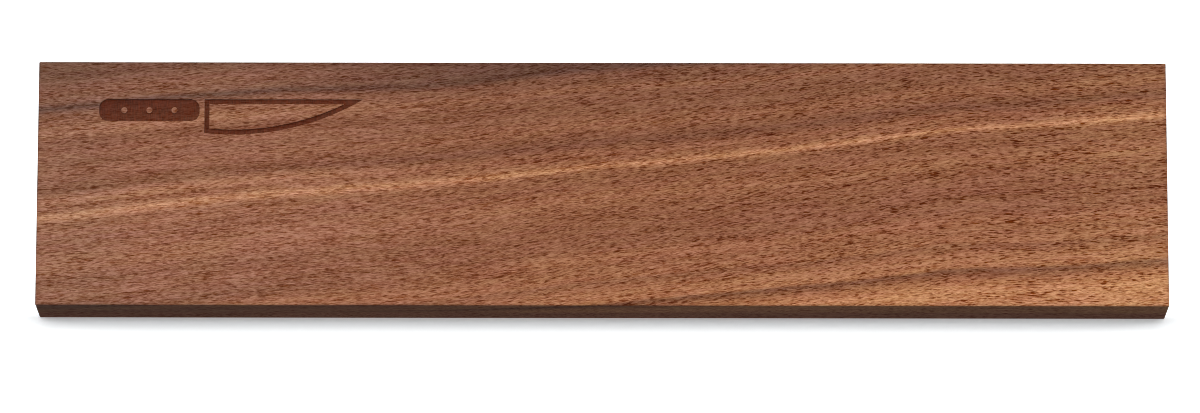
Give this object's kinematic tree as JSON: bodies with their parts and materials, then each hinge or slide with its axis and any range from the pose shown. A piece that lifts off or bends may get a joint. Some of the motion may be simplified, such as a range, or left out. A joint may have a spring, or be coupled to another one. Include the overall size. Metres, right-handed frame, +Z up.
{
  "type": "magnetic knife holder",
  "caption": "Long flat wooden bar for a wall, with magnets hidden behind its plain front face to hold knives, and keyhole hangers let into its back.",
  "frame": {"origin": "on the wall plane at the middle of the board's back, on the face of the centre wall pad", "axes": "+X along the board, to the right seen from the front; +Y into the wall; +Z up. The knives lie against the face that looks along -Y"},
  "size_m": [0.5, 0.0305, 0.11],
  "materials": {
    "front_walnut": "satin",
    "back_walnut": "satin",
    "yoke_steel": "satin",
    "zinc_plate": "satin",
    "beech": "matte",
    "silicone": "matte",
    "magnet_nickel": "polished"
  },
  "bodies": {
    "root": {"front_board": "front_walnut", "back_board": "back_walnut", "upper_yoke_strip": "yoke_steel", "lower_yoke_strip": "yoke_steel", "yoke_screws": "zinc_plate", "left_keyhole_hanger": "zinc_plate", "right_keyhole_hanger": "zinc_plate", "hanger_screws": "zinc_plate", "assembly_screws": "zinc_plate", "left_dowel": "beech", "right_dowel": "beech", "centre_wall_pad": "silicone", "upper_left_wall_pad": "silicone", "upper_right_wall_pad": "silicone", "lower_left_wall_pad": "silicone", "lower_right_wall_pad": "silicone", "upper_magnet_1": "magnet_nickel", "upper_magnet_2": "magnet_nickel", "upper_magnet_3": "magnet_nickel", "upper_magnet_4": "magnet_nickel", "upper_magnet_5": "magnet_nickel", "upper_magnet_6": "magnet_nickel", "upper_magnet_7": "magnet_nickel", "upper_magnet_8": "magnet_nickel", "upper_magnet_9": "magnet_nickel", "upper_magnet_10": "magnet_nickel", "lower_magnet_1": "magnet_nickel", "lower_magnet_2": "magnet_nickel", "lower_magnet_3": "magnet_nickel", "lower_magnet_4": "magnet_nickel", "lower_magnet_5": "magnet_nickel", "lower_magnet_6": "magnet_nickel", "lower_magnet_7": "magnet_nickel", "lower_magnet_8": "magnet_nickel", "lower_magnet_9": "magnet_nickel", "lower_magnet_10": "magnet_nickel"}
  },
  "joints": []
}
